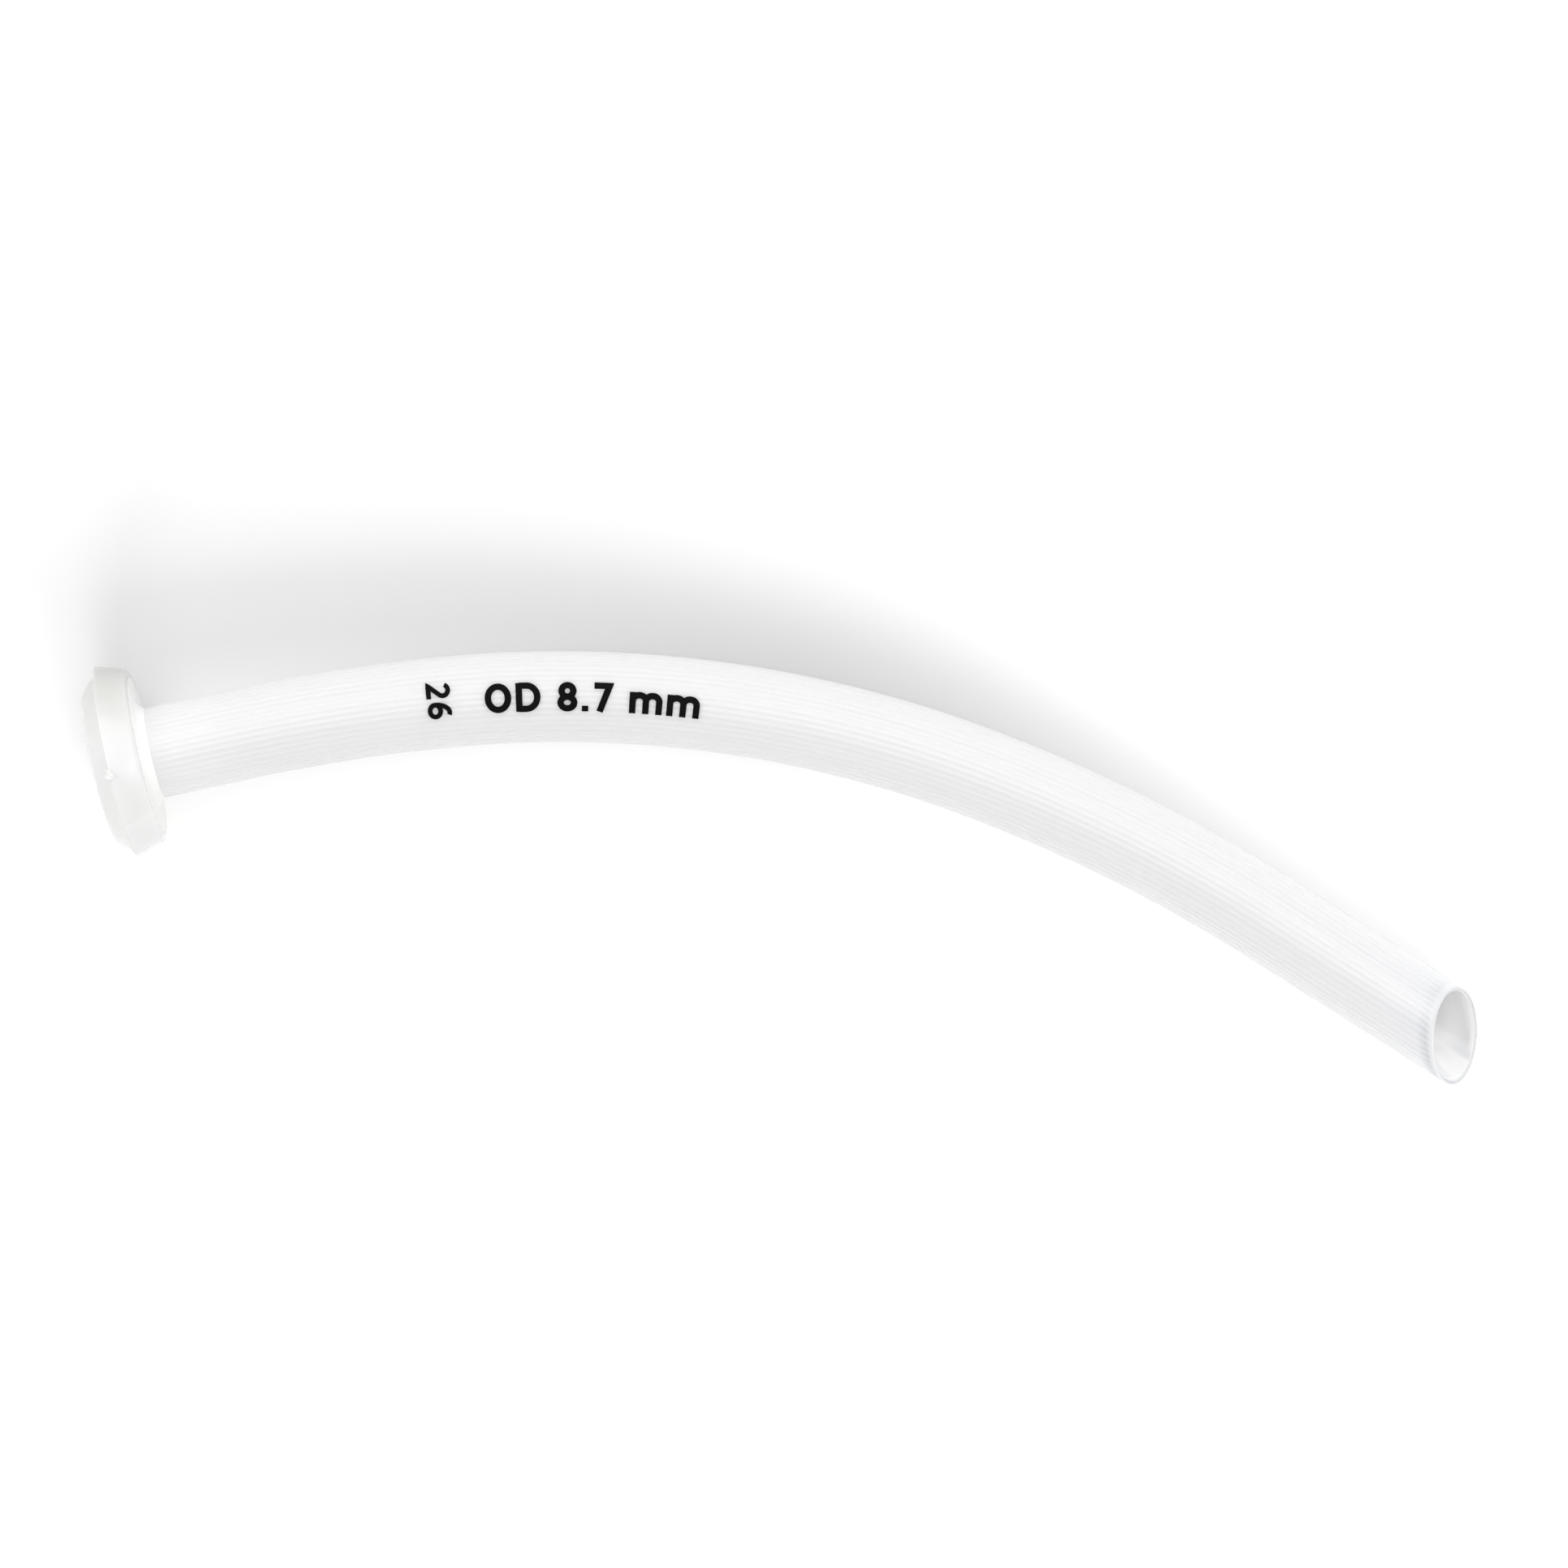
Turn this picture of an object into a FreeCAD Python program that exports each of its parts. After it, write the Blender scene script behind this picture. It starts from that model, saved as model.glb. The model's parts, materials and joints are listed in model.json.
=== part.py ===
import FreeCAD, Part
import os
from math import cos, radians, sin, tan

Vector = FreeCAD.Vector
Rotation = FreeCAD.Rotation
Placement = FreeCAD.Placement

# Nasopharyngeal airway, 26 French gauge: a curved, ribbed, clear tube with a slanted
# soft tip, and a round flange bonded round its other end. It lies on its side as it
# comes to rest on a table. +X runs from the flange towards the tip, +Z is up.

# Tube section, in which the diameter is over the ribs
french_size = 26.0
mm_per_french = 1 / 3
wall_thickness = 1.083
rib_count = 48
rib_height = 0.11

# Tube centreline, from the mouth in the flange to the middle of the slanted tip
mouth_run = 13.0
bend_radii = (163.0, 111.0, 148.0)
bend_degrees = (7.1, 26.3, 12.1)
tip_run = 21.1

# Slanted tip, whose turn about the tube is measured from square to the bend
# towards the outside of the bend
bevel_degrees = 40.5
bevel_turn_degrees = 18.0
smooth_tip_band = 0.7
tip_edge_radius = 0.35
tip_bore_chamfer = 0.25

# Flange, with its outer face flush with the end of the tube
flange_thickness = 4.5
parting_depth = 1.65
ridge_diameter = 18.3
parting_ledge = 0.3
outer_face_diameter = 14.3
inner_face_diameter = 16.5
flange_edge_chamfer = 0.3
bond_gap = 0.02
bond_run = 1.2
socket_relief = 0.3
mouth_chamfer = 0.5

tube_radius = french_size * mm_per_french / 2
smooth_radius = tube_radius - rib_height / 2
bore_radius = tube_radius - wall_thickness
ridge_radius = ridge_diameter / 2
bend_plane_normal = Vector(0, 0, 1)


class Station:
    """A place on the centreline, and its heading in the plane of the bend."""

    def __init__(self, point, heading):
        self.point = point
        self.heading = heading

    def along(self):
        return Vector(cos(self.heading), sin(self.heading), 0)

    def inward(self):
        return Vector(sin(self.heading), -cos(self.heading), 0)

    def after_run(self, length):
        return Station(self.point + self.along() * length, self.heading)

    def after_bend(self, radius, turn):
        centre = self.point + self.inward() * radius
        turned = Station(centre, self.heading - turn)
        return Station(centre - turned.inward() * radius, turned.heading)

    def placement(self):
        axes = Rotation(self.inward() * -1, bend_plane_normal, self.along(), "ZXY")
        return Placement(self.point, axes)


def circle_wire(radius):
    return Part.Wire(Part.makeCircle(radius))


def polar(radius, angle):
    return Vector(radius * cos(angle), radius * sin(angle), 0)


def ribbed_wire():
    """Outline of the tube over its ribs, a crest and a valley in turn round the axis."""
    half_pitch = radians(180 / rib_count)
    points = []
    for rib in range(rib_count):
        points.append(polar(tube_radius, 2 * rib * half_pitch))
        points.append(polar(tube_radius - rib_height, (2 * rib + 1) * half_pitch))
    return Part.makePolygon(points + points[:1])


def wall_section(outline, station):
    """Ring of tube wall, square to the centreline at a station."""
    section = Part.Face([outline, circle_wire(bore_radius)], "Part::FaceMakerBullseye")
    section.Placement = station.placement()
    return section


def straight_wall(outline, station, length):
    return wall_section(outline, station).extrude(station.along() * length)


def ribbed_wall(stations, last_length):
    """One solid along the bends: its inner and outer skins, closed by a ring at each end."""
    ribs = ribbed_wire()
    first = stations[0]
    last = stations[-1].after_run(last_length)
    skins = [wall_section(ribs, first), wall_section(ribs, last)]
    for outline in (ribs, circle_wire(bore_radius)):
        outline.Placement = first.placement()
        skins.append(outline.extrude(stations[1].point - first.point))
        for start, radius, turn in zip(stations[1:], bend_radii, bend_degrees):
            outline.Placement = start.placement()
            centre = start.point + start.inward() * radius
            skins.append(outline.revolve(centre, bend_plane_normal * -1, turn))
        outline.Placement = stations[-1].placement()
        skins.append(outline.extrude(last.point - stations[-1].point))
    shell = Part.Shell([face for skin in skins for face in skin.Faces])
    shell.sewShape()
    return Part.Solid(shell.Shells[0])


def bevel_normal(tip):
    """Way the slanted end faces: along the tube, leaned to its side and a little outwards."""
    turn = radians(bevel_turn_degrees)
    lean = bend_plane_normal * cos(turn) - tip.inward() * sin(turn)
    return tip.along() * cos(radians(bevel_degrees)) + lean * sin(radians(bevel_degrees))


def block_beyond(point, normal):
    """Block that takes away all of the tip beyond a slanted plane."""
    size = tip_run + 4 * tube_radius
    block = Part.makeBox(size, size, size, Vector(-size / 2, -size / 2, 0))
    block.Placement = Placement(point, Rotation(Vector(0, 0, 1), normal))
    return block


def formed_band(tip):
    """Smooth band at the slanted end, rounded at its rim, and the block where it starts."""
    normal = bevel_normal(tip)
    reach = tube_radius * tan(radians(bevel_degrees)) + 4 * smooth_tip_band
    band_point = tip.point - tip.along() * (smooth_tip_band / cos(radians(bevel_degrees)))
    beyond_band = block_beyond(band_point, normal)
    smooth = straight_wall(circle_wire(smooth_radius), tip.after_run(-reach), 2 * reach)
    smooth = smooth.cut(block_beyond(tip.point, normal))
    smooth = smooth.makeFillet(tip_edge_radius, [slanted_rims(smooth, tip.point, normal)[-1]])
    smooth = smooth.makeChamfer(tip_bore_chamfer, [slanted_rims(smooth, tip.point, normal)[0]])
    return smooth.common(beyond_band), beyond_band


def slanted_rims(solid, point, normal):
    """Rims in a slanted plane, the smallest first."""
    rims = [edge for edge in solid.Edges if lies_on_plane(edge, point, normal)]
    return sorted(rims, key=lambda edge: edge.Length)


def lies_on_plane(edge, point, normal):
    middle = edge.valueAt((edge.FirstParameter + edge.LastParameter) / 2)
    ends = [vertex.Point for vertex in edge.Vertexes]
    return all(abs((place - point).dot(normal)) < 1e-6 for place in ends + [middle])


def make_tube(stations):
    """Whole tube: bonded end, ribbed run through the bends, and the formed tip."""
    mouth, tip = stations[0], stations[-1]
    bonded_length = flange_thickness + bond_run
    bonded = straight_wall(circle_wire(smooth_radius), mouth, bonded_length)
    countersink = Part.makeCone(
        bore_radius + mouth_chamfer, bore_radius, mouth_chamfer, mouth.point, mouth.along()
    )
    band, beyond_band = formed_band(tip)
    ribbed_stations = [mouth.after_run(bonded_length)] + stations[1:-1]
    ribbed = ribbed_wall(ribbed_stations, tip_run + 2 * tube_radius).cut(beyond_band)
    return bonded.cut(countersink).multiFuse([ribbed, band]).Solids[0]


def make_flange(mouth):
    """Moulded flange: a cone out to the parting ledge, then a rim that tapers to a flat face."""
    socket_radius = smooth_radius + bond_gap
    outline = [
        (0, socket_radius),
        (0, outer_face_diameter / 2),
        (parting_depth, ridge_radius - parting_ledge),
        (parting_depth, ridge_radius),
        (flange_thickness, inner_face_diameter / 2),
        (flange_thickness, socket_radius + socket_relief),
        (flange_thickness - socket_relief, socket_radius),
    ]
    points = [mouth.point + mouth.along() * depth - mouth.inward() * radius for depth, radius in outline]
    profile = Part.Face(Part.makePolygon(points + points[:1]))
    flange = profile.revolve(mouth.point, mouth.along(), 360)
    rims = rings(flange, mouth, outline[1]) + rings(flange, mouth, outline[4])
    return flange.makeChamfer(flange_edge_chamfer, rims).Solids[0]


def rings(solid, mouth, ring):
    """Circular edges of a turned solid at a depth from the mouth and a radius."""
    depth, radius = ring
    found = []
    for edge in solid.Edges:
        if isinstance(edge.Curve, Part.Circle) and abs(edge.Curve.Radius - radius) < 1e-6:
            if abs((edge.Curve.Center - mouth.point).dot(mouth.along()) - depth) < 1e-6:
                found.append(edge)
    return found


def centreline_stations():
    """Mouth, start of each bend, end of the last bend, and middle of the tip."""
    stations = [Station(Vector(0, 0, 0), 0)]
    stations.append(stations[0].after_run(mouth_run))
    for radius, turn in zip(bend_radii, bend_degrees):
        stations.append(stations[-1].after_bend(radius, radians(turn)))
    stations.append(stations[-1].after_run(tip_run))
    return stations


def station_at_turn(stations, turn):
    """Place where the centreline has turned by an angle since the mouth."""
    for start, radius, bend in zip(stations[1:], bend_radii, bend_degrees):
        if turn <= radians(bend):
            return start.after_bend(radius, turn)
        turn -= radians(bend)
    return stations[-2]


def bisect(function, low, high):
    """Root of a function that changes sign between two values."""
    low_sign = function(low) > 0
    for _ in range(60):
        middle = (low + high) / 2
        if (function(middle) > 0) == low_sign:
            low = middle
        else:
            high = middle
    return (low + high) / 2


def up_at(contact, lean):
    """Up direction for a tube that rests at a station, with its bend's inside leaned upwards."""
    return bend_plane_normal * cos(lean) + contact.inward() * sin(lean)


def ridge_low_point(mouth, up):
    """Lowest point of the flange's ridge."""
    centre = mouth.point + mouth.along() * parting_depth
    across = up - mouth.along() * up.dot(mouth.along())
    return centre - across.normalize() * ridge_radius


def resting_up(stations, centre_of_mass):
    """Up direction at rest, on the flange's ridge and one point of the tube's underside.

    The lean brings both to one level, and the tube's point is where the line between them
    passes under the centre of mass.
    """
    mouth = stations[0]

    def up_for(turn):
        contact = station_at_turn(stations, turn)

        def ridge_above_tube(lean):
            up = up_at(contact, lean)
            return (ridge_low_point(mouth, up) - contact.point + up * tube_radius).dot(up)

        return contact, up_at(contact, bisect(ridge_above_tube, 0, radians(60)))

    def balance(turn):
        contact, up = up_for(turn)
        tube_point = contact.point - up * tube_radius
        support = ridge_low_point(mouth, up) - tube_point
        return support.cross(up).dot(centre_of_mass - tube_point)

    total = radians(sum(bend_degrees))
    return up_for(bisect(balance, total / 4, total))[1]


def resting_placement(stations, solids):
    """Turn to the resting pose, with the origin under the middle of the whole part."""
    volume = sum(solid.Volume for solid in solids)
    centre_of_mass = sum((solid.CenterOfMass * solid.Volume for solid in solids), Vector()) * (1 / volume)
    up = resting_up(stations, centre_of_mass)
    chord = stations[-1].point - stations[0].point
    forward = (chord - up * chord.dot(up)).normalize()
    turn = Placement(Vector(), Rotation(forward, up.cross(forward), up, "ZXY").inverted())
    box = FreeCAD.BoundBox()
    for solid in solids:
        turned = solid.copy()
        turned.Placement = turn.multiply(turned.Placement)
        box.add(turned.optimalBoundingBox(False, False))
    return Placement(Vector(-box.Center.x, -box.Center.y, -box.ZMin), Rotation()).multiply(turn)


def write_part():
    stations = centreline_stations()
    sub_parts = {"tube": make_tube(stations), "flange": make_flange(stations[0])}
    place = resting_placement(stations, list(sub_parts.values()))
    os.makedirs("parts", exist_ok=True)
    for name, shape in sub_parts.items():
        shape.Placement = place.multiply(shape.Placement)
        shape.exportStep("parts/" + name + ".step")
        box = shape.optimalBoundingBox(False, False)
        size = (round(box.XLength, 2), round(box.YLength, 2), round(box.ZLength, 2))
        print(name, "valid", shape.isValid(), "solids", len(shape.Solids), "volume", round(shape.Volume, 1), size)


write_part()
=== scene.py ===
import bpy
import bmesh
import json
import random
from math import atan2, cos, exp, pi, radians, sin, tan
from mathutils import Matrix, Vector


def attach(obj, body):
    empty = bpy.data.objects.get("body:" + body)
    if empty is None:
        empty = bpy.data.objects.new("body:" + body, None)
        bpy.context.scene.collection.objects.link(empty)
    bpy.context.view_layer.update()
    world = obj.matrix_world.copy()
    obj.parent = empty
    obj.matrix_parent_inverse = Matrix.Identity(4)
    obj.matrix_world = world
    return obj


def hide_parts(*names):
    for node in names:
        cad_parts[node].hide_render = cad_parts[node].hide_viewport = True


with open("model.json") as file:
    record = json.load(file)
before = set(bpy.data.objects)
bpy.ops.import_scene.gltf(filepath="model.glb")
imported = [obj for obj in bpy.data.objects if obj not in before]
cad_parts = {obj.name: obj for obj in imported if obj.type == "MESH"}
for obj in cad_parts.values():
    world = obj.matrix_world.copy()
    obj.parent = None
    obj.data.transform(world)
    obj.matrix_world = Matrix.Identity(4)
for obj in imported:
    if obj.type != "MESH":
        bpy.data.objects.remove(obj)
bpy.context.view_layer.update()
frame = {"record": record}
mm = 0.001
print("frame loaded")

# How every mesh is finished
meshing = {"mergeGap": 0.001 * mm, "sharpAngle": radians(40.0)}

# The line that the tube follows, between the two bores that the frame states
line = {
    "mouthRun": 13.0 * mm,
    "bendRadii": (163.0 * mm, 111.0 * mm, 148.0 * mm),
    "bendTurns": (radians(7.1), radians(26.3), radians(12.1)),
    "tipRun": 21.1 * mm,
    "mouthChamfer": 0.5 * mm,
}
mounts = {mount["name"]: mount for mount in frame["record"]["mounts"]}
mouthHeading = -Vector(mounts["mouth_bore"]["axis"]).normalized()
mouthPoint = Vector(mounts["mouth_bore"]["pos_m"]) - mouthHeading * line["mouthChamfer"]
bendAxis = Vector(mounts["tip_bore"]["axis"]).cross(mouthHeading).normalized()


def smoothStep(value):
    value = min(max(value, 0.0), 1.0)
    return value * value * (3 - 2 * value)


def bump(value, middle, width):
    return exp(-((value - middle) / width) ** 2)


def inwardOf(heading):
    # towards the inside of the bend
    return heading.cross(bendAxis)


def turned(vector, turn):
    return Matrix.Rotation(-turn, 3, bendAxis) @ vector


# Each stretch is its start, its heading there, its length, and its bend radius or None
stretches = []
point = mouthPoint
heading = mouthHeading
stretches.append((point, heading, line["mouthRun"], None))
point = point + heading * line["mouthRun"]
for bendRadius, bendTurn in zip(line["bendRadii"], line["bendTurns"]):
    stretches.append((point, heading, bendRadius * bendTurn, bendRadius))
    centre = point + inwardOf(heading) * bendRadius
    heading = turned(heading, bendTurn)
    point = centre - inwardOf(heading) * bendRadius
stretches.append((point, heading, line["tipRun"], None))
tubeLength = sum(stretch[2] for stretch in stretches)
tipPoint = point + heading * line["tipRun"]
tipHeading = heading


def placeAlong(distance):
    # centre of the tube and its heading at a distance from the mouth
    for start, startHeading, length, bendRadius in stretches:
        if distance <= length or start is stretches[-1][0]:
            if bendRadius is None:
                return start + startHeading * distance, startHeading
            centre = start + inwardOf(startHeading) * bendRadius
            here = turned(startHeading, distance / bendRadius)
            return centre - inwardOf(here) * bendRadius, here
        distance -= length


def alongOf(place):
    # distance along the line, and angle round it, of a place near the tube
    best = None
    passed = 0.0
    for start, startHeading, length, bendRadius in stretches:
        offset = place - start
        if bendRadius is None:
            distance = offset.dot(startHeading)
        else:
            arm = offset - inwardOf(startHeading) * bendRadius
            distance = atan2(arm.dot(startHeading), -arm.dot(inwardOf(startHeading))) * bendRadius
        outside = max(-distance, distance - length, 0.0)
        if best is None or outside < best[0]:
            best = (outside, passed + distance)
        passed += length
    centre, here = placeAlong(best[1])
    offset = place - centre
    return best[1], atan2(offset.dot(bendAxis), offset.dot(inwardOf(here)))


def onTube(distance, angle, radius):
    # a place round the tube: angle 0 is the inside of the bend, a quarter turn on faces up
    centre, here = placeAlong(distance)
    return centre + (inwardOf(here) * cos(angle) + bendAxis * sin(angle)) * radius


def toObject(bm, name, material):
    mesh = bpy.data.meshes.new(name)
    bm.to_mesh(mesh)
    bm.free()
    mesh.materials.append(material)
    mesh.shade_smooth()
    mesh.set_sharp_from_angle(angle=meshing["sharpAngle"])
    piece = bpy.data.objects.new(name, mesh)
    bpy.context.collection.objects.link(piece)
    return piece


# Shader helpers
def addNode(tree, kind, values=None, **settings):
    node = tree.nodes.new(kind)
    for key, value in settings.items():
        setattr(node, key, value)
    for key, value in (values or {}).items():
        node.inputs[key].default_value = value
    return node


def attributeOf(tree, name):
    return addNode(tree, "ShaderNodeAttribute", attribute_name=name).outputs["Fac"]


def objectPlace(tree):
    return addNode(tree, "ShaderNodeTexCoord").outputs["Object"]


def newMaterial(name):
    material = bpy.data.materials.new(name)
    material.use_nodes = True
    tree = material.node_tree
    shader = tree.nodes["Principled BSDF"]
    return material, tree, shader


def makeHaze():
    # soft cloudy variation, mapped to a range of values; all the materials share it
    tree = bpy.data.node_groups.new("haze", "ShaderNodeTree")
    tree.interface.new_socket("Vector", in_out="INPUT", socket_type="NodeSocketVector")
    for name in ("Scale", "Detail", "Low", "High"):
        tree.interface.new_socket(name, in_out="INPUT", socket_type="NodeSocketFloat")
    tree.interface.new_socket("Value", in_out="OUTPUT", socket_type="NodeSocketFloat")
    given = addNode(tree, "NodeGroupInput").outputs
    noise = addNode(tree, "ShaderNodeTexNoise")
    # nearly all of the noise lies between these two values
    spread = addNode(tree, "ShaderNodeMapRange", {"From Min": 0.3, "From Max": 0.7})
    tree.links.new(given["Vector"], noise.inputs["Vector"])
    tree.links.new(given["Scale"], noise.inputs["Scale"])
    tree.links.new(given["Detail"], noise.inputs["Detail"])
    tree.links.new(given["Low"], spread.inputs["To Min"])
    tree.links.new(given["High"], spread.inputs["To Max"])
    tree.links.new(noise.outputs["Fac"], spread.inputs["Value"])
    tree.links.new(spread.outputs["Result"], addNode(tree, "NodeGroupOutput").inputs["Value"])
    return tree


hazeGroup = makeHaze()


def haze(tree, scale, low, high, coordinates=None, detail=3.0):
    values = {"Scale": scale, "Detail": detail, "Low": low, "High": high}
    cloud = addNode(tree, "ShaderNodeGroup", values, node_tree=hazeGroup)
    tree.links.new(coordinates or objectPlace(tree), cloud.inputs["Vector"])
    return cloud.outputs["Value"]


def colourRamp(tree, value, colours):
    # colours by the value at which each is reached
    low, high = min(colours), max(colours)
    share = addNode(tree, "ShaderNodeMapRange", {"From Min": low, "From Max": high})
    tree.links.new(value, share.inputs["Value"])
    ramp = addNode(tree, "ShaderNodeValToRGB")
    stops = ramp.color_ramp.elements
    for index, (reached, colour) in enumerate(sorted(colours.items())):
        stop = stops[index] if index < len(stops) else stops.new(1.0)
        stop.position = (reached - low) / (high - low)
        stop.color = colour
    tree.links.new(share.outputs["Result"], ramp.inputs["Fac"])
    return ramp.outputs["Color"]


def makeMilky(shader, settings):
    # clear plastic made milky: a little light goes straight through, the rest scatters over a short way
    shader.inputs["Transmission Weight"].default_value = settings["transmission"]
    shader.inputs["IOR"].default_value = settings["ior"]
    shader.inputs["Specular IOR Level"].default_value = settings["shine"]
    shader.inputs["Subsurface Weight"].default_value = 1.0
    shader.inputs["Subsurface Radius"].default_value = (1.0, 1.0, 1.0)
    shader.inputs["Subsurface Scale"].default_value = settings["scatter"]


# Clear soft plastic of the tube, milky from its thickness and ribs
tubePlastic = {
    # colour of the painted shade, mixed in by the mesh's shade
    "shadeColour": (0.45, 0.46, 0.475, 1),
    # by the distance from the slanted rim in millimetres
    "tipColours": {
        0.0: (0.82, 0.83, 0.86, 1),
        0.35: (0.87, 0.875, 0.902, 1),
        5.0: (0.935, 0.934, 0.95, 1),
        16.0: (0.963, 0.961, 0.973, 1),
        50.0: (0.974, 0.971, 0.974, 1),
    },
    "transmission": 0.12,
    "ior": 1.53,
    "shine": 0.9,
    "scatter": 1.2 * mm,
    "jointScatter": 0.12 * mm,
    "roughness": (0.2, 0.24),
    "boreRoughness": 0.1,
    "streaks": 3.0,
    "streakScale": (4.0, 0.4, 1.0),
}


def makeTubePlastic():
    material, tree, shader = newMaterial("tubePlastic")
    makeMilky(shader, tubePlastic)
    # greyer and bluer towards the tip, most at its edge, and darker by painted shade where the mesh's
    # shade says so
    tint = colourRamp(tree, attributeOf(tree, "tipDistance"), tubePlastic["tipColours"])
    shaded = addNode(tree, "ShaderNodeMix", data_type="RGBA")
    shaded.inputs["B"].default_value = tubePlastic["shadeColour"]
    tree.links.new(attributeOf(tree, "shade"), shaded.inputs["Factor"])
    tree.links.new(tint, shaded.inputs["A"])
    tree.links.new(shaded.outputs["Result"], shader.inputs["Base Color"])
    # light scatters less beside the flange, so the hidden part under it does not darken the joint
    depths = {"To Min": tubePlastic["scatter"], "To Max": tubePlastic["jointScatter"]}
    depth = addNode(tree, "ShaderNodeMapRange", depths)
    tree.links.new(attributeOf(tree, "joint"), depth.inputs["Value"])
    tree.links.new(depth.outputs["Result"], shader.inputs["Subsurface Scale"])
    # long streaks in the gloss, and a smoother bore
    along = addNode(tree, "ShaderNodeUVMap", uv_map="alongTube")
    stretch = addNode(tree, "ShaderNodeMapping", {"Scale": tubePlastic["streakScale"]})
    tree.links.new(along.outputs["UV"], stretch.inputs["Vector"])
    low, high = tubePlastic["roughness"]
    streaks = haze(tree, tubePlastic["streaks"], low, high, stretch.outputs["Vector"], detail=0.0)
    finish = addNode(tree, "ShaderNodeMix")
    finish.inputs["B"].default_value = tubePlastic["boreRoughness"]
    tree.links.new(attributeOf(tree, "bore"), finish.inputs["Factor"])
    tree.links.new(streaks, finish.inputs["A"])
    tree.links.new(finish.outputs["Result"], shader.inputs["Roughness"])
    return material


def makeRimReach():
    # where a place is from one end of the rim to the other, in millimetres from the axis
    tree = bpy.data.node_groups.new("rimReach", "ShaderNodeTree")
    tree.interface.new_socket("Value", in_out="OUTPUT", socket_type="NodeSocketFloat")
    fromAxis = addNode(tree, "ShaderNodeVectorMath", {1: mouthPoint}, operation="SUBTRACT")
    tree.links.new(objectPlace(tree), fromAxis.inputs[0])
    across = inwardOf(mouthHeading) / mm
    reach = addNode(tree, "ShaderNodeVectorMath", {1: across}, operation="DOT_PRODUCT")
    tree.links.new(fromAxis.outputs["Vector"], reach.inputs[0])
    tree.links.new(reach.outputs["Value"], addNode(tree, "NodeGroupOutput").inputs["Value"])
    return tree


rimReach = makeRimReach()


def rimTintAndShade(tree, colours):
    # colours by the reach across the rim: the plastic's tint and painted shade
    reach = addNode(tree, "ShaderNodeGroup", node_tree=rimReach)
    return colourRamp(tree, reach.outputs["Value"], colours)


# Moulded plastic of the flange, a little yellower; its colours go by the reach across the rim, with
# painted shade that darkens it towards the outside of the bend
flangePlastic = {
    "colours": {
        -8.0: (0.66, 0.66, 0.642, 1),
        -4.0: (0.83, 0.83, 0.81, 1),
        0.5: (0.955, 0.955, 0.948, 1),
        4.5: (0.94, 0.945, 0.905, 1),
        8.5: (0.975, 0.98, 0.915, 1),
    },
    "transmission": 0.15,
    "ior": 1.53,
    "shine": 0.9,
    "scatter": 0.7 * mm,
    "cloud": 350.0,
    "roughness": (0.08, 0.13),
}

# Plastic that whitened where the gate was torn off
tornPlastic = {"colour": (0.87, 0.87, 0.86, 1), "grain": 3000.0, "roughness": (0.25, 0.45)}

# Cement in the corner and over the face at the joint; its colours go by the reach across the rim, darker
# towards both ends: painted shade
cement = {
    "colours": {
        -8.0: (0.8, 0.8, 0.79, 1),
        -2.0: (0.975, 0.975, 0.97, 1),
        2.0: (0.98, 0.98, 0.97, 1),
        4.5: (0.9, 0.905, 0.88, 1),
        8.0: (0.87, 0.875, 0.84, 1),
    },
    "grain": 3000.0,
    "roughness": (0.3, 0.45),
}

# Black print
ink = {"colour": (0.002, 0.002, 0.0025, 1), "grain": 4000.0, "roughness": (0.5, 0.65), "shine": 0.08}


def makeFlangePlastic():
    material, tree, shader = newMaterial("flangePlastic")
    makeMilky(shader, flangePlastic)
    tree.links.new(rimTintAndShade(tree, flangePlastic["colours"]), shader.inputs["Base Color"])
    roughness = haze(tree, flangePlastic["cloud"], *flangePlastic["roughness"])
    tree.links.new(roughness, shader.inputs["Roughness"])
    return material


def makeTornPlastic():
    material, tree, shader = newMaterial("tornPlastic")
    shader.inputs["Base Color"].default_value = tornPlastic["colour"]
    roughness = haze(tree, tornPlastic["grain"], *tornPlastic["roughness"])
    tree.links.new(roughness, shader.inputs["Roughness"])
    return material


def makeCement():
    material, tree, shader = newMaterial("cement")
    tree.links.new(rimTintAndShade(tree, cement["colours"]), shader.inputs["Base Color"])
    roughness = haze(tree, cement["grain"], *cement["roughness"])
    tree.links.new(roughness, shader.inputs["Roughness"])
    return material


def makeInk():
    material, tree, shader = newMaterial("printInk")
    shader.inputs["Base Color"].default_value = ink["colour"]
    shader.inputs["Specular IOR Level"].default_value = ink["shine"]
    roughness = haze(tree, ink["grain"], *ink["roughness"])
    tree.links.new(roughness, shader.inputs["Roughness"])
    return material


# The tube: a ring of fine ribs taken along the line, turned in over the slanted lip and back
tube = {
    "radius": 26 / 6 * mm,
    "wall": 1.083 * mm,
    "ribs": 48,
    "ribHeight": 0.06 * mm,
    "smoothDrop": 0.055 * mm,
    "pointsPerRib": 6,
    "bendStep": radians(0.75),
    # the ribs start beside the flange, and the mark of the joint fades out from there
    "bondRun": 5.7 * mm,
    "ribFade": 1.2 * mm,
    "ribFadeSteps": 8,
    "jointRun": 2.5 * mm,
    # the slanted tip, with its full lean after the first leanSteps of tipSteps
    "bevel": radians(40.5),
    "bevelTurn": radians(18.0),
    "tipSteps": 24,
    "leanSteps": 20,
    "smoothBand": 0.7 * mm,
    "bandRibs": (0.75, 0.4, 0.1, 0.0),
    # the rim, and the bore that narrows behind it; boreFirstStep is the first step beyond the flare
    "lipRound": 0.1 * mm,
    "lipInnerRound": 0.25 * mm,
    "lipSteps": 6,
    "rimLine": 0.36 * mm,
    "boreFlare": 0.5 * mm,
    "flareRun": 3.0 * mm,
    "flareSteps": 6,
    "boreSteps": 12,
    "boreFirstStep": 3,
}
smoothRadius = tube["radius"] - tube["smoothDrop"]
boreRadius = tube["radius"] - tube["wall"]


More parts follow.
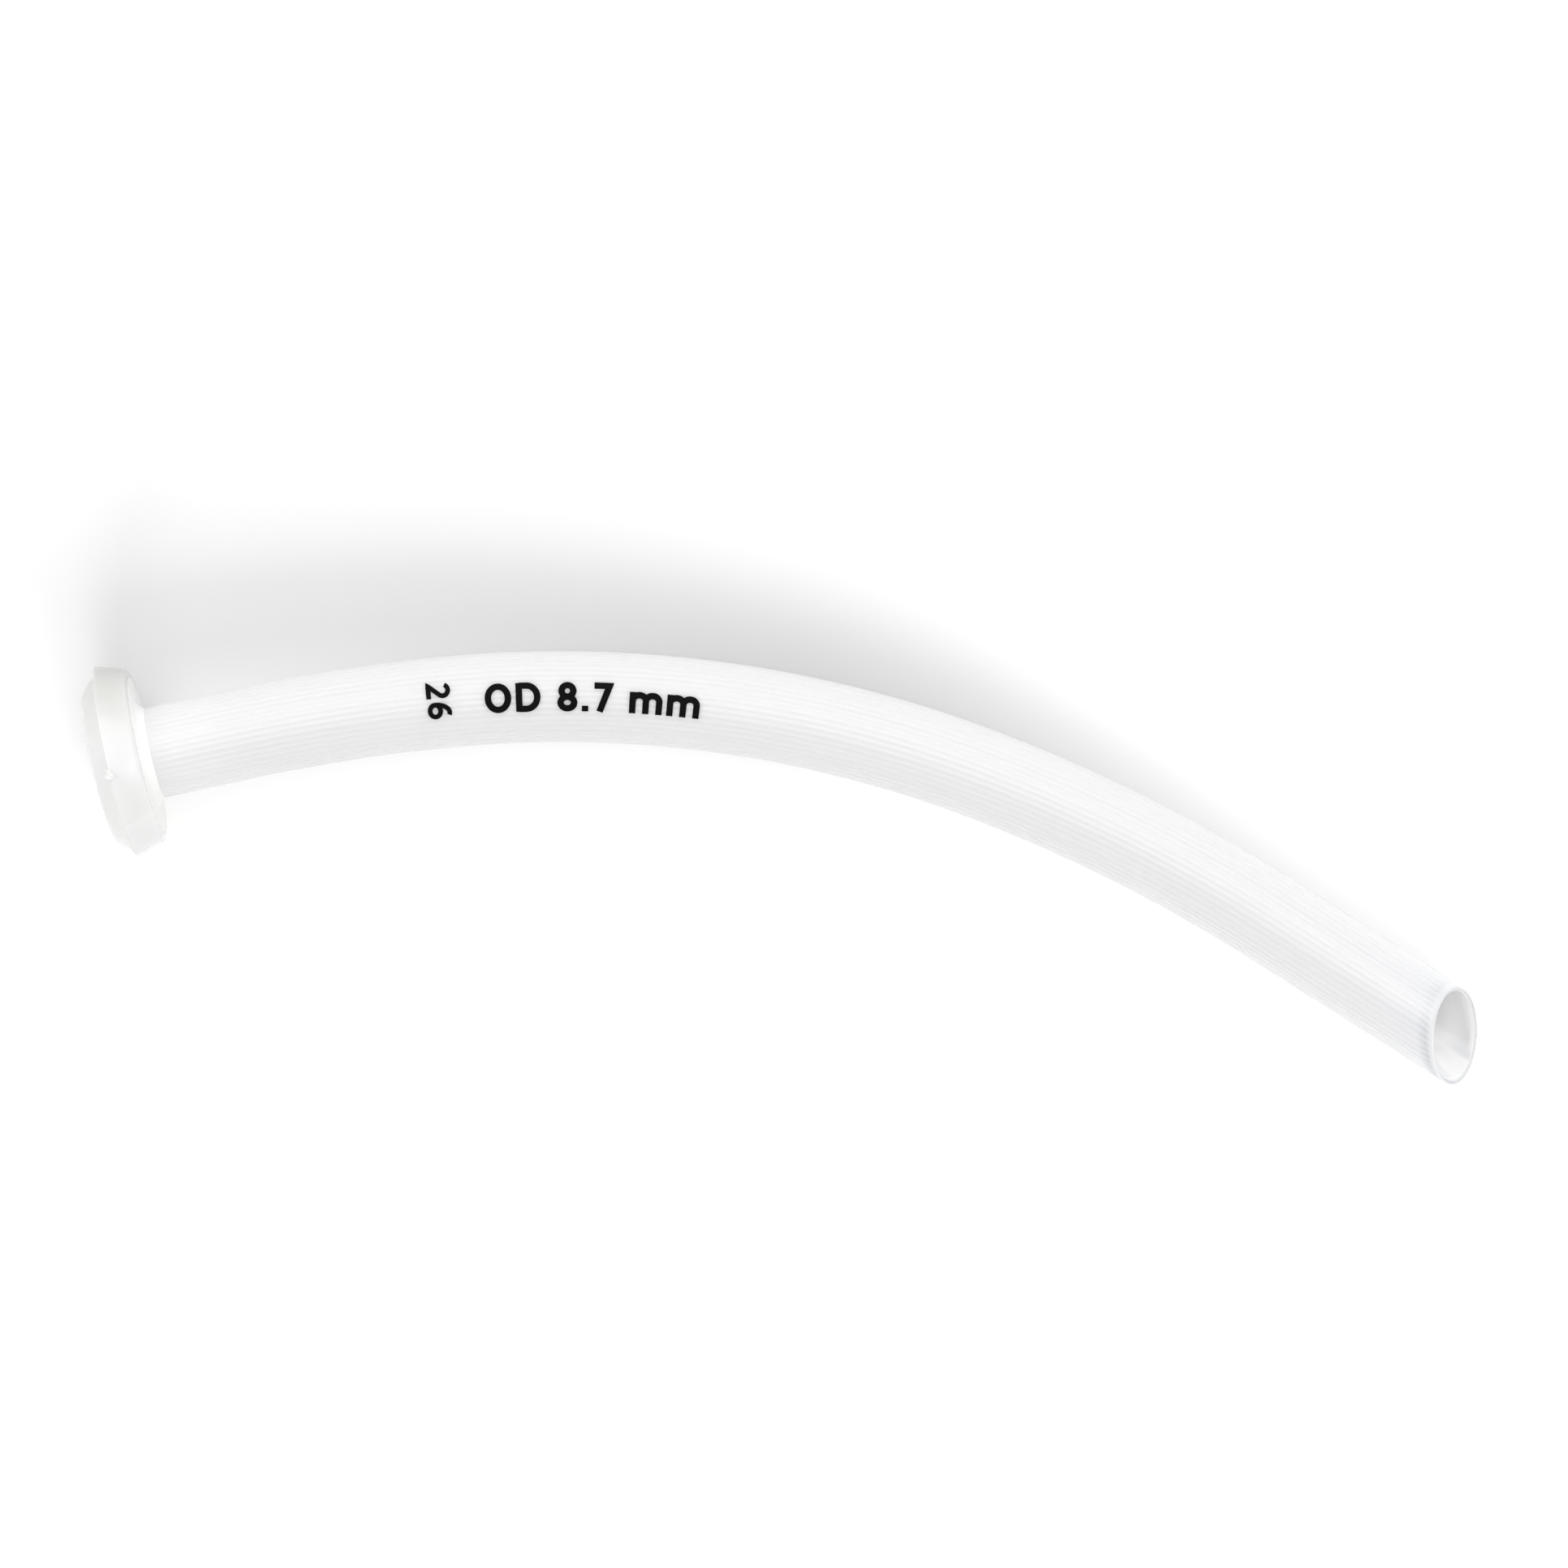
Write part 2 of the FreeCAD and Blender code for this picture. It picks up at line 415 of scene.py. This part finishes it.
def leanOf(heading):
    # the side on which the tip is cut back furthest
    return bendAxis * cos(tube["bevelTurn"]) - inwardOf(heading) * sin(tube["bevelTurn"])


def ringRadius(angle, ribShare):
    valley = (1 - cos(tube["ribs"] * angle)) * tube["ribHeight"] / 2
    return smoothRadius + (tube["radius"] - smoothRadius - valley) * ribShare


def shapeRing(verts, centre, here, radiusAt, slant=0.0):
    # each point of a ring goes to its radius, and along the tube by the slant of the tip
    lean = leanOf(here)
    for vert in verts:
        offset = vert.co - centre
        offset -= here * offset.dot(here)
        angle = atan2(offset.dot(bendAxis), offset.dot(inwardOf(here)))
        offset = offset.normalized() * radiusAt(angle)
        vert.co = centre + offset - here * offset.dot(lean) * slant * tan(tube["bevel"])


def nextRing(bm, edges):
    made = bmesh.ops.extrude_edge_only(bm, edges=edges)["geom"]
    verts = [item for item in made if isinstance(item, bmesh.types.BMVert)]
    edges = [item for item in made if isinstance(item, bmesh.types.BMEdge)]
    return verts, edges


def bendRing(bm, edges, stretch, backwards=False):
    start, startHeading, length, bendRadius = stretch
    turn = length / bendRadius
    made = bmesh.ops.spin(
        bm,
        geom=edges,
        cent=start + inwardOf(startHeading) * bendRadius,
        axis=bendAxis,
        angle=turn if backwards else -turn,
        steps=max(2, round(turn / tube["bendStep"])),
        use_merge=False,
        use_duplicate=False,
    )["geom_last"]
    return [item for item in made if isinstance(item, bmesh.types.BMEdge)]


def makeTube(material):
    bm = bmesh.new()
    count = tube["ribs"] * tube["pointsPerRib"]
    facing = mouthHeading.to_track_quat("Z", "Y").to_matrix().to_4x4()
    bmesh.ops.create_circle(
        bm,
        segments=count,
        radius=smoothRadius,
        matrix=Matrix.Translation(mouthPoint) @ facing,
    )
    firstEdges = list(bm.edges)
    edges = firstEdges

    def straightRing(distance, radiusAt, slant=0.0):
        nonlocal edges
        ringVerts, edges = nextRing(bm, edges)
        centre, here = placeAlong(distance)
        shapeRing(ringVerts, centre, here, radiusAt, slant)

    def roundLip(radius, rounding, swings):
        # from the wall to the slanted face or back; inwards the rounding is negative
        for swing in swings:
            reach = radius - rounding * (1 - cos(swing))
            straightRing(tubeLength - abs(rounding) * (1 - sin(swing)), lambda angle: reach, 1)

    # bonded end, where the ribs start
    for step in range(tube["ribFadeSteps"] + 1):
        fade = step / tube["ribFadeSteps"]
        distance = tube["bondRun"] + tube["ribFade"] * (2 * fade - 1)
        straightRing(distance, lambda angle: ringRadius(angle, smoothStep(fade)))
    straightRing(line["mouthRun"], lambda angle: ringRadius(angle, 1))
    for stretch in stretches[1:-1]:
        edges = bendRing(bm, edges, stretch)
    # last run, which leans into the slant of the tip
    bandRun = tube["smoothBand"] / cos(tube["bevel"])
    tipStart = tubeLength - line["tipRun"]
    ribEnd = tubeLength - bandRun
    for step in range(1, tube["tipSteps"] + 1):
        distance = tipStart + (ribEnd - tipStart) * step / tube["tipSteps"]
        leaning = smoothStep(step / tube["leanSteps"])
        straightRing(distance, lambda angle: ringRadius(angle, 1), leaning)
    # the ribs end in the first quarter of the smooth band
    for share in tube["bandRibs"]:
        straightRing(ribEnd + (1 - share) * bandRun / 4, lambda angle: ringRadius(angle, share), 1)
    swings = [pi / 2 * step / tube["lipSteps"] for step in range(tube["lipSteps"] + 1)]
    roundLip(smoothRadius, tube["lipRound"], swings)
    straightRing(tubeLength, lambda angle: tube["radius"] - tube["rimLine"], 1)
    roundLip(boreRadius + tube["boreFlare"], -tube["lipInnerRound"], reversed(swings))
    # smooth bore, which narrows a little from the lip, back to the mouth
    for step in range(1, tube["flareSteps"] + 1):
        share = step / tube["flareSteps"]
        flare = tube["boreFlare"] * smoothStep(1 - share)
        back = tube["lipInnerRound"] + (tube["flareRun"] - tube["lipInnerRound"]) * share
        leaning = smoothStep(1 - back / line["tipRun"])
        straightRing(tubeLength - back, lambda angle: boreRadius + flare, leaning)
    for step in range(tube["boreFirstStep"], tube["boreSteps"] + 1):
        share = step / tube["boreSteps"]
        distance = tubeLength - line["tipRun"] * share
        straightRing(distance, lambda angle: boreRadius, smoothStep(1 - share))
    for stretch in reversed(stretches[1:-1]):
        edges = bendRing(bm, edges, stretch, backwards=True)
    straightRing(line["mouthRun"] / 2, lambda angle: boreRadius)
    straightRing(line["mouthChamfer"], lambda angle: boreRadius)
    straightRing(0, lambda angle: boreRadius + line["mouthChamfer"])
    bmesh.ops.bridge_loops(bm, edges=edges + firstEdges)
    bmesh.ops.remove_doubles(bm, verts=bm.verts, dist=meshing["mergeGap"])
    bmesh.ops.recalc_face_normals(bm, faces=bm.faces)
    markTube(bm)
    addLineMap(bm)
    return toObject(bm, "ribbedTube", material)


# Painted light and shade on the tube: how dark it looks, as a share of its shade colour. Offsets from
# the middle of the tube, widths and runs back from the slanted rim are in millimetres.
tubeShade = {
    "even": 0.075,
    # painted light and shade in bands along the tube, by the offset from its middle: the offset, width
    # and strength of each band
    "bands": ((-1.3, 0.8, 0.045), (0.35, 0.7, -0.075), (1.8, 0.5, 0.035), (2.9, 0.4, -0.04)),
    # painted shade in the grooves between the ribs, deeper on the inside of the bend and behind the rim
    "grooves": 0.02,
    "deepGrooves": (2.6, 1.1, 0.06),
    "endGrooves": 0.26,
    "endGrooveRun": 2.0,
    # a strip of painted shade behind the rim on the inside of the bend: how far back, width and strength
    "strip": (0.75, 0.4, 0.34),
    # painted shade on the far side of the rim's face, with a thin painted dark line round it
    "rimRun": 0.4,
    "rimFace": 0.25,
    "lineStart": 0.5,
    "lineRise": 1.2,
    # painted shade in the bore, darker near its end but for its edge, and a painted pale streak of light
    # along it
    "bore": 0.17,
    "boreEnd": 0.4,
    "boreEndRun": 3.0,
    "boreEdge": 0.25,
    "outerBoreEdge": 1.5,
    "streakAngle": radians(-30.0),
    "streakWidth": radians(45.0),
    "streakEdge": radians(10.0),
}


def wallShade(angle, back):
    # painted light and shade on the outer wall: bands, grooves and the strip behind the rim
    offset = tube["radius"] * cos(angle) / mm
    band = tubeShade["even"]
    for middle, width, strength in tubeShade["bands"]:
        band += strength * bump(offset, middle, width)
    middle, width, strength = tubeShade["deepGrooves"]
    grooves = tubeShade["grooves"] + strength * bump(offset, middle, width)
    grooves += tubeShade["endGrooves"] * smoothStep(1 - back / tubeShade["endGrooveRun"])
    valley = (1 - cos(tube["ribs"] * angle)) / 2
    middle, width, strength = tubeShade["strip"]
    strip = strength * bump(back, middle, width) * max(cos(angle), 0.0)
    return max(band, 0.0) + valley * grooves + strip


def rimShade(angle, reach):
    # painted shade on the far side of the rim, darkest over the outer half of its painted line
    outward = (reach - tube["radius"] + tube["rimLine"]) / (tube["rimLine"] / 2)
    farSide = smoothStep(tubeShade["lineStart"] - tubeShade["lineRise"] * sin(angle))
    return farSide * (tubeShade["rimFace"] + (1 - tubeShade["rimFace"]) * smoothStep(outward))


def boreShade(angle, back):
    # painted shade in the bore, lifted along the painted pale streak and near the bore's edge
    fromStreak = abs(angle - tubeShade["streakAngle"]) - tubeShade["streakWidth"]
    darkness = tubeShade["bore"] + tubeShade["boreEnd"] * smoothStep(1 - back / tubeShade["boreEndRun"])
    edge = tubeShade["boreEdge"] + tubeShade["outerBoreEdge"] * max(-cos(angle), 0.0)
    return smoothStep(fromStreak / tubeShade["streakEdge"]) * darkness * smoothStep(back / edge)


def markTube(bm):
    # shade: painted shade and light, how dark the plastic looks; bore: 1 inside; joint: 1 beside the
    # flange;
    # tipDistance: millimetres back from the slanted rim
    shade = bm.verts.layers.float.new("shade")
    bore = bm.verts.layers.float.new("bore")
    joint = bm.verts.layers.float.new("joint")
    tipDistance = bm.verts.layers.float.new("tipDistance")
    slope = tipHeading + leanOf(tipHeading) * tan(tube["bevel"])
    farthest = max(tubePlastic["tipColours"])
    for vert in bm.verts:
        distance, angle = alongOf(vert.co)
        centre, _ = placeAlong(distance)
        back = (tipPoint - vert.co).dot(slope) / mm
        reach = (vert.co - centre).length
        inside = reach < tube["radius"] - tube["wall"] / 2
        if inside:
            vert[shade] = boreShade(angle, back)
        elif back < tubeShade["rimRun"]:
            vert[shade] = rimShade(angle, reach)
        else:
            vert[shade] = wallShade(angle, back)
        vert[bore] = 1.0 if inside else 0.0
        vert[joint] = 1 - smoothStep((distance - tube["bondRun"]) / tube["jointRun"])
        vert[tipDistance] = farthest if inside else back


def addLineMap(bm):
    # round the tube in U and along it in V
    uvLayer = bm.loops.layers.uv.new("alongTube")
    for face in bm.faces:
        places = [alongOf(loop.vert.co) for loop in face.loops]
        seam = max(place[1] for place in places) - min(place[1] for place in places) > pi
        for loop, (distance, angle) in zip(face.loops, places):
            around = angle + 2 * pi if seam and angle < 0 else angle
            loop[uvLayer].uv = (around / (2 * pi), distance / tubeLength)


# The flange: one moulding, turned from its outline
flange = {
    "thickness": 4.5 * mm,
    "partingDepth": 1.65 * mm,
    "ridgeRadius": 9.15 * mm,
    "ledge": 0.3 * mm,
    "outerFaceRadius": 7.15 * mm,
    "innerFaceRadius": 8.25 * mm,
    "edgeRound": 0.4 * mm,
    "ridgeRound": 0.08 * mm,
    "bondGap": 0.02 * mm,
    "turnSteps": 192,
    "cornerSteps": 4,
    # how far one half of the mould stood off, and what it moved: from the socket to the ledge
    "mouldShift": 0.2 * mm,
    "shiftFromSocket": 1.0 * mm,
    "shiftFromRidge": 0.2 * mm,
    "shiftSlack": 0.01 * mm,
}
socketRadius = smoothRadius + flange["bondGap"]


def turnOutline(outline):
    # a ring turned round the mouth: each corner is its depth, its radius and how far it is rounded
    bm = bmesh.new()
    up = -inwardOf(mouthHeading)
    corners = []
    for depth, radius, _ in outline:
        corners.append(bm.verts.new(mouthPoint + mouthHeading * depth + up * radius))
    for first, second in zip(corners, corners[1:] + corners[:1]):
        bm.edges.new((first, second))
    for corner, (_, _, rounding) in zip(corners, outline):
        if rounding:
            bmesh.ops.bevel(
                bm,
                geom=[corner],
                offset=rounding,
                segments=flange["cornerSteps"],
                profile=0.5,
                affect="VERTICES",
                material=-1,
            )
    bmesh.ops.spin(
        bm,
        geom=list(bm.edges),
        cent=mouthPoint,
        axis=mouthHeading,
        angle=2 * pi,
        steps=flange["turnSteps"],
        use_merge=True,
        use_duplicate=False,
    )
    bmesh.ops.remove_doubles(bm, verts=bm.verts, dist=meshing["mergeGap"])
    bmesh.ops.recalc_face_normals(bm, faces=bm.faces)
    return bm


def makeFlange(material):
    parting, ridge = flange["partingDepth"], flange["ridgeRadius"]
    bm = turnOutline([
        (0, socketRadius, 0),
        (0, flange["outerFaceRadius"], flange["edgeRound"]),
        (parting, ridge - flange["ledge"], flange["ridgeRound"]),
        (parting, ridge, flange["ridgeRound"]),
        (flange["thickness"], flange["innerFaceRadius"], flange["edgeRound"]),
        (flange["thickness"], socketRadius, 0),
    ])
    # the two halves of the mould stood a little apart, which leaves the ledge deeper on one side
    nearest = socketRadius + flange["shiftFromSocket"]
    farthest = ridge - flange["shiftFromRidge"]
    for vert in bm.verts:
        offset = vert.co - mouthPoint
        depth = offset.dot(mouthHeading)
        radius = (offset - mouthHeading * depth).length
        if depth < parting + flange["shiftSlack"] and nearest < radius < farthest:
            vert.co += inwardOf(mouthHeading) * flange["mouldShift"]
    return toObject(bm, "mouldedFlange", material)


# The cement that fills the corner between the flange and the tube and clouds the face round it
bond = {
    "bead": 0.8 * mm,
    "beadFoot": 0.3,  # rounding of the bead's foot, as a share of the bead
    "hollow": 0.35,  # where the middle of the bead's hollow face is, as a share of the bead
    "hollowRound": 0.4,
    "film": 0.04 * mm,
    "filmRadius": 7.5 * mm,
    "filmRound": 0.5,  # as a share of the film
    "sunkInFlange": 0.2 * mm,
    "sunkInTube": 0.1 * mm,
}


def makeBondBead(material):
    bead, film = bond["bead"], bond["film"]
    face = flange["thickness"]
    foot = face - bond["sunkInFlange"]
    under = smoothRadius - bond["sunkInTube"]
    hollow = bead * bond["hollow"]
    bm = turnOutline([
        (foot, under, 0),
        (foot, bond["filmRadius"], 0),
        (face + film, bond["filmRadius"], film * bond["filmRound"]),
        (face + film, smoothRadius + bead, bead * bond["beadFoot"]),
        (face + hollow, smoothRadius + hollow, bead * bond["hollowRound"]),
        (face + bead, smoothRadius, 0),
        (face + bead, under, 0),
    ])
    return toObject(bm, "bondBead", material)


# The scar on the rim where the gate of the mould was cut away
scar = {
    "angle": radians(73.0),
    "radius": 0.5 * mm,
    "proud": 0.09 * mm,
    "sunk": 0.03 * mm,
    "roughening": 0.06 * mm,
    "seed": 4,
    "subdivisions": 3,
    # three lobes, as a share of the radius and what they add to it
    "lobes": 3,
    "lobeBase": 0.8,
    "lobeSize": 0.25,
}


def makeGateScar(material):
    chance = random.Random(scar["seed"])
    bm = bmesh.new()
    bmesh.ops.create_icosphere(bm, subdivisions=scar["subdivisions"], radius=1.0)
    outward = inwardOf(mouthHeading) * cos(scar["angle"]) + bendAxis * sin(scar["angle"])
    around = mouthHeading.cross(outward)
    depth, radius = flange["partingDepth"], flange["ridgeRadius"] - scar["sunk"]
    place = mouthPoint + mouthHeading * depth + outward * radius
    for vert in bm.verts:
        x, y, z = vert.co
        x *= scar["lobeBase"] + scar["lobeSize"] * sin(scar["lobes"] * atan2(y, x))
        rise = z * scar["proud"] + chance.uniform(-1, 1) * scar["roughening"]
        vert.co = place + mouthHeading * x * scar["radius"] + around * y * scar["radius"] + outward * rise
    return toObject(bm, "gateScar", material)


# Black print that follows the tube: the gauge number across it, the outer diameter along it.
# Widths, gaps and strokes are shares of the height.
printing = {
    "gauge": {
        "text": "26",
        "from": 31.3 * mm,
        "height": 2.28 * mm,
        "widen": 1.1,
        "gap": 0.12,
        "stroke": 0.2,
        "facing": radians(82.7),
        "across": True,
    },
    "diameter": {
        "text": "OD 8.7 mm",
        "from": 36.75 * mm,
        "height": 2.75 * mm,
        "widen": 1.04,
        "gap": 0.17,
        "stroke": 0.225,
        "facing": radians(80.0),
        "across": False,
    },
    "lift": 0.012 * mm,
    "space": 0.42,
    "stepsPerTurn": 40,
    "fewestSteps": 4,
    "stepsPerLine": 7,
    "sharpestTurn": 0.5,
    "samePlace": 1e-6,
    "mergeGap": 0.0005 * mm,
}


def sweep(x, y, width, height, start, end):
    # points of an elliptical arc, angles in degrees
    steps = max(printing["fewestSteps"], round(abs(end - start) / 360 * printing["stepsPerTurn"]))
    angles = [radians(start + (end - start) * step / steps) for step in range(steps + 1)]
    return [(x + width * cos(angle), y + height * sin(angle)) for angle in angles]


def straight(*corners):
    # points of a line with corners
    shares = [step / printing["stepsPerLine"] for step in range(1, printing["stepsPerLine"] + 1)]
    points = [corners[0]]
    for (x0, y0), (x1, y1) in zip(corners, corners[1:]):
        points += [(x0 + (x1 - x0) * share, y0 + (y1 - y0) * share) for share in shares]
    return points


def arch(middle):
    # one arch of the letter m, with its right leg
    curve = sweep(middle, 0.44, 0.22, 0.2, 180, 0)
    return curve + straight((middle + 0.22, 0.44), (middle + 0.22, 0.0))[1:]


# Each sign: its width and the middle lines of its strokes, as shares of the height
signs = {
    "2": (0.65, [
        sweep(0.32, 0.68, 0.215, 0.22, 158, -38) + straight((0.44, 0.48), (0.12, 0.1), (0.62, 0.1))[1:],
    ]),
    "6": (0.65, [
        sweep(0.325, 0.315, 0.225, 0.215, 0, 360),
        sweep(0.41, 0.33, 0.31, 0.57, 180, 72),
    ]),
    "8": (0.65, [
        sweep(0.325, 0.7, 0.19, 0.2, 0, 360),
        sweep(0.325, 0.3, 0.225, 0.2, 0, 360),
    ]),
    "7": (0.64, [straight((0.03, 0.9), (0.53, 0.9), (0.22, 0.0))]),
    ".": (0.2, [straight((0.1, 0.0), (0.1, 0.2))]),
    "O": (0.86, [sweep(0.43, 0.5, 0.33, 0.4, 0, 360)]),
    "D": (0.8, [
        straight((0.1, 0.0), (0.1, 1.0)),
        straight((0.1, 0.9), (0.34, 0.9))
        + sweep(0.34, 0.5, 0.36, 0.4, 90, -90)[1:]
        + straight((0.34, 0.1), (0.1, 0.1))[1:],
    ]),
    "m": (1.08, [straight((0.1, 0.0), (0.1, 0.74)), arch(0.32), arch(0.76)]),
}


def sideways(points, index):
    # direction across a stroke at one of its points, longer where the stroke turns a corner
    last = len(points) - 1
    closed = (Vector(points[0]) - Vector(points[last])).length < printing["samePlace"]
    before = Vector(points[last - 1 if index == 0 and closed else max(index - 1, 0)])
    after = Vector(points[1 if index == last and closed else min(index + 1, last)])
    here = Vector(points[index])
    into = (here - before).normalized() if before != here else (after - here).normalized()
    out = (after - here).normalized() if after != here else into
    across = Vector((-(into + out).y, (into + out).x)).normalized()
    return across / max(across.dot(Vector((-out.y, out.x))), printing["sharpestTurn"])


def addStroke(bm, points, offset, settings):
    # a flat ribbon along the points, from the left of a stroke to its right
    aside = [sideways(points, index) * settings["stroke"] / 2 for index in range(len(points))]
    places = [Vector((x * settings["widen"] + offset, y)) for x, y in points]
    verts = [bm.verts.new((*(place - side), 0)) for place, side in zip(places, aside)]
    edges = [bm.edges.new(pair) for pair in zip(verts, verts[1:])]
    for vert in nextRing(bm, edges)[0]:
        index = min(range(len(verts)), key=lambda at: (verts[at].co - vert.co).length)
        vert.co = (*(places[index] + aside[index]), 0)


def makePrint(name, settings, material):
    bm = bmesh.new()
    offset = 0.0
    for letter in settings["text"]:
        if letter == " ":
            offset += printing["space"]
            continue
        width, strokes = signs[letter]
        for points in strokes:
            addStroke(bm, points, offset, settings)
        offset += width * settings["widen"] + settings["gap"]
    length = offset - settings["gap"]
    size = settings["height"]
    radius = tube["radius"] + printing["lift"]
    for vert in bm.verts:
        if settings["across"]:
            distance = settings["from"] + vert.co.y * size
            side = (length / 2 - vert.co.x) * size
        else:
            distance = settings["from"] + vert.co.x * size
            side = (vert.co.y - 0.5) * size
        vert.co = onTube(distance, settings["facing"] + side / tube["radius"], radius)
    bmesh.ops.remove_doubles(bm, verts=bm.verts, dist=printing["mergeGap"])
    bmesh.ops.recalc_face_normals(bm, faces=bm.faces)
    return toObject(bm, name, material)


print("making materials")
tubeMaterial = makeTubePlastic()
flangeMaterial = makeFlangePlastic()
tornMaterial = makeTornPlastic()
cementMaterial = makeCement()
inkMaterial = makeInk()

print("making the tube")
ribbedTube = makeTube(tubeMaterial)
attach(ribbedTube, "root")
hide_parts("tube")

print("making the flange")
mouldedFlange = makeFlange(flangeMaterial)
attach(mouldedFlange, "root")
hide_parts("flange")

gateScar = makeGateScar(tornMaterial)
bondBead = makeBondBead(cementMaterial)
for piece in (gateScar, bondBead):
    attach(piece, "root")

print("making the print")
for name in ("gauge", "diameter"):
    piece = makePrint(name + "Print", printing[name], inkMaterial)
    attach(piece, "root")

# Floor, light and camera
studio = {
    "floorSize": 3.0,
    "floorColour": (0.66, 0.66, 0.66, 1),
    "floorRoughness": 0.9,
    # painted light: the floor glows for the camera, a little more towards the tip, which fades the shadow
    # out there; how bright at each end, and where in X
    "floorGlow": (0.02, 0.3),
    "glowFrom": -0.005,
    "glowTo": 0.06,
    "worldStrength": 0.86,
}
# Each lamp: where it stands, its width and length, its aim and its power
lamps = {
    "softbox": {"place": (-0.1, 0.56, 0.7), "size": (1.5, 1.25), "aim": (-0.1, 0.56, 0), "power": 4.2},
    "lowLamp": {"place": (0.42, -0.8, 0.38), "size": (0.95, 0.74), "aim": (0, 0, 0), "power": 15.0},
    "highLamp": {"place": (0.32, -0.6, 0.66), "size": (0.6, 0.6), "aim": (0, 0, 0), "power": 2.0},
    "fillCard": {"place": (0.12, 0.0, 0.16), "size": (0.1, 0.1), "aim": (-0.06, 0, 0), "power": 0.02},
}
view = {
    "place": (-1.896 * mm, 3.205 * mm, 314.436 * mm),
    "turn": (radians(0.154), radians(-0.021), radians(11.343)),
    "focalPixels": 4000.0,
    "imagePixels": 1932.0,
    "sensor": 36.0,
    "nearest": 10.0 * mm,
}


def makeFloor():
    bm = bmesh.new()
    bmesh.ops.create_grid(bm, x_segments=1, y_segments=1, size=studio["floorSize"] / 2)
    material, tree, shader = newMaterial("paleFloor")
    shader.inputs["Base Color"].default_value = studio["floorColour"]
    shader.inputs["Roughness"].default_value = studio["floorRoughness"]
    shader.inputs["Specular IOR Level"].default_value = 0.0
    shader.inputs["Emission Color"].default_value = (1, 1, 1, 1)
    # painted light: a glow that rises along X and fades the shadow near the tip
    apart = addNode(tree, "ShaderNodeSeparateXYZ")
    tree.links.new(objectPlace(tree), apart.inputs["Vector"])
    low, high = studio["floorGlow"]
    reach = {"From Min": studio["glowFrom"], "From Max": studio["glowTo"], "To Min": low, "To Max": high}
    rise = addNode(tree, "ShaderNodeMapRange", reach, interpolation_type="SMOOTHSTEP")
    tree.links.new(apart.outputs["X"], rise.inputs["Value"])
    # the camera sees the glow, and so do the reflections and what shines through the plastic
    path = addNode(tree, "ShaderNodeLightPath")
    seeing = path.outputs["Is Camera Ray"]
    for ray in ("Is Glossy Ray", "Is Transmission Ray"):
        either = addNode(tree, "ShaderNodeMath", operation="MAXIMUM")
        tree.links.new(seeing, either.inputs[0])
        tree.links.new(path.outputs[ray], either.inputs[1])
        seeing = either.outputs["Value"]
    seen = addNode(tree, "ShaderNodeMath", operation="MULTIPLY")
    tree.links.new(seeing, seen.inputs[0])
    tree.links.new(rise.outputs["Result"], seen.inputs[1])
    tree.links.new(seen.outputs["Value"], shader.inputs["Emission Strength"])
    floor = toObject(bm, "floor", material)
    return floor


def makeLamp(name, settings):
    lamp = bpy.data.lights.new(name, "AREA")
    lamp.shape = "RECTANGLE"
    lamp.size, lamp.size_y = settings["size"]
    lamp.energy = settings["power"]
    holder = bpy.data.objects.new(name, lamp)
    holder.location = settings["place"]
    aim = Vector(settings["aim"]) - Vector(settings["place"])
    holder.rotation_euler = aim.to_track_quat("-Z", "Y").to_euler()
    bpy.context.collection.objects.link(holder)
    return holder


def makeLights(litOnly):
    # the world and the lamps; some lamps light only the objects that litOnly gives
    world = bpy.data.worlds.new("studioWorld")
    world.use_nodes = True
    background = world.node_tree.nodes["Background"]
    background.inputs["Color"].default_value = (1, 1, 1, 1)
    background.inputs["Strength"].default_value = studio["worldStrength"]
    bpy.context.scene.world = world
    for name, settings in lamps.items():
        lamp = makeLamp(name, settings)
        if name in litOnly:
            lit = bpy.data.collections.new("litBy_" + name)
            for receiver in litOnly[name]:
                lit.objects.link(receiver)
            lamp.light_linking.receiver_collection = lit


def makeCamera():
    data = bpy.data.cameras.new("photoCamera")
    data.sensor_width = view["sensor"]
    data.lens = view["focalPixels"] / view["imagePixels"] * view["sensor"]
    data.clip_start = view["nearest"]
    camera = bpy.data.objects.new("photoCamera", data)
    camera.location = view["place"]
    camera.rotation_euler = view["turn"]
    bpy.context.collection.objects.link(camera)
    bpy.context.scene.camera = camera


print("making the studio")
floor = makeFloor()
# two lamps only draw the shadow on the floor, and the card only fills the face of the flange
makeLights({"lowLamp": [floor], "highLamp": [floor], "fillCard": [mouldedFlange, gateScar, bondBead]})
makeCamera()
bpy.context.scene.view_settings.view_transform = "Standard"
